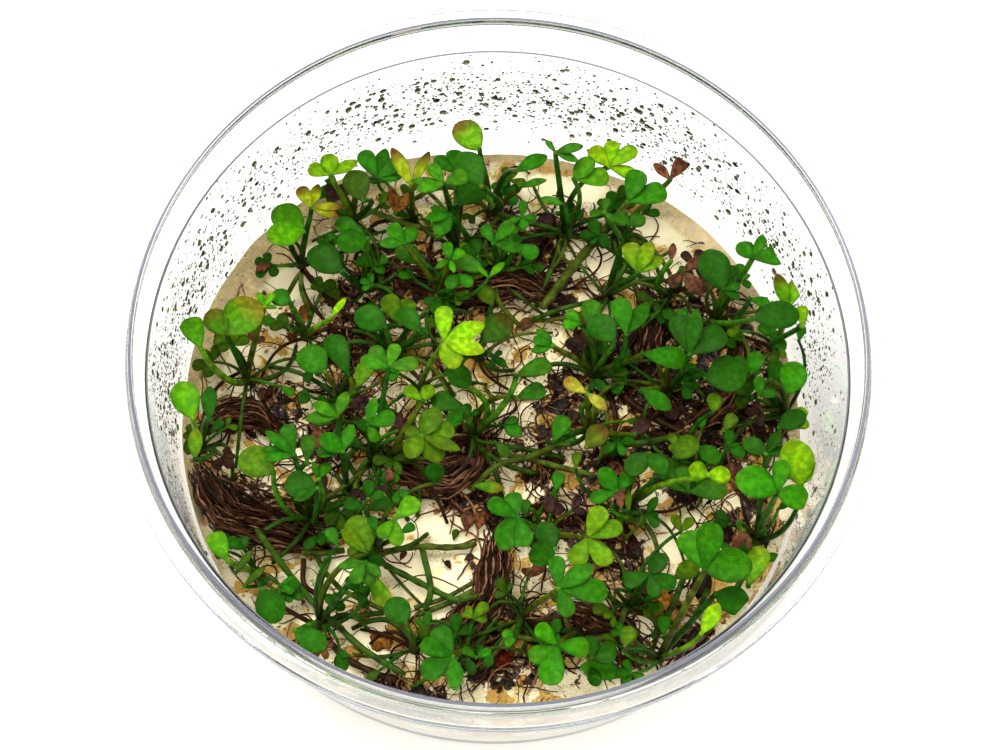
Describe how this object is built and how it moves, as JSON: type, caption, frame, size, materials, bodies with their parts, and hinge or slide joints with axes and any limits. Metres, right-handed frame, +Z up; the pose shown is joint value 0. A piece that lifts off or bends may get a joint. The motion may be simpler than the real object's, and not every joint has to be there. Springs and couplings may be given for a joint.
{
  "type": "tissue culture dwarf water clover",
  "caption": "Low round clear culture cup holding dwarf water clover: small clover-like leaves on stalks over dark roots in pale agar gel.",
  "frame": {"origin": "centre of the cup's base, on the surface it stands on", "axes": "+Z up along the cup's axis; -Y is the front, the side nearest the picture's viewer; +X to the right"},
  "size_m": [0.1058, 0.1058, 0.044],
  "materials": {
    "clear_plastic": "clear, glossy, moulded",
    "agar_gel": "translucent wet jelly",
    "roots": "fine matted fibres",
    "green_stem": "smooth, slightly waxy",
    "old_stem": "rough, dry",
    "leaf_green": "smooth, half gloss",
    "leaf_dark": "smooth, half gloss",
    "leaf_pale": "smooth, half gloss",
    "leaf_lime": "smooth, half gloss, thin",
    "leaf_olive": "smooth, half gloss",
    "leaf_yellow": "smooth, half gloss, thin",
    "leaf_brown": "dry, dull"
  },
  "bodies": {
    "root": {"cup": "clear_plastic", "agar_gel": "agar_gel", "root_mat_01": "roots", "root_mat_02": "roots", "root_mat_03": "roots", "root_mat_04": "roots", "root_mat_05": "roots", "root_mat_06": "roots", "root_mat_07": "roots", "root_mat_08": "roots", "runner_01": "old_stem", "runner_02": "green_stem", "runner_03": "green_stem", "runner_04": "green_stem", "runner_05": "green_stem", "runner_06": "old_stem", "runner_07": "green_stem", "shoot_01": "leaf_yellow", "shoot_02": "leaf_green", "shoot_03": "leaf_dark", "shoot_04": "leaf_green", "shoot_05": "leaf_olive", "shoot_06": "leaf_lime", "shoot_07": "leaf_green", "shoot_08": "leaf_green", "shoot_09": "leaf_green", "shoot_10": "leaf_green", "shoot_11": "leaf_dark", "shoot_12": "leaf_lime", "shoot_13": "leaf_olive", "shoot_14": "leaf_green", "shoot_15": "leaf_olive", "shoot_16": "leaf_dark", "shoot_17": "leaf_yellow", "shoot_18": "leaf_green", "shoot_19": "leaf_pale", "shoot_20": "leaf_green", "shoot_21": "leaf_green", "shoot_22": "leaf_green", "shoot_23": "leaf_green", "shoot_24": "leaf_olive", "shoot_25": "leaf_brown", "shoot_26": "leaf_dark", "shoot_27": "leaf_lime", "shoot_28": "leaf_green", "shoot_29": "leaf_dark", "shoot_30": "leaf_yellow", "shoot_31": "leaf_green", "shoot_32": "leaf_green", "shoot_33": "leaf_green", "shoot_34": "leaf_green", "shoot_35": "leaf_green", "shoot_36": "leaf_green", "shoot_37": "leaf_green", "shoot_38": "leaf_green", "shoot_39": "leaf_green", "shoot_40": "leaf_lime", "shoot_41": "leaf_green", "shoot_42": "leaf_green", "shoot_43": "leaf_green"}
  },
  "joints": []
}
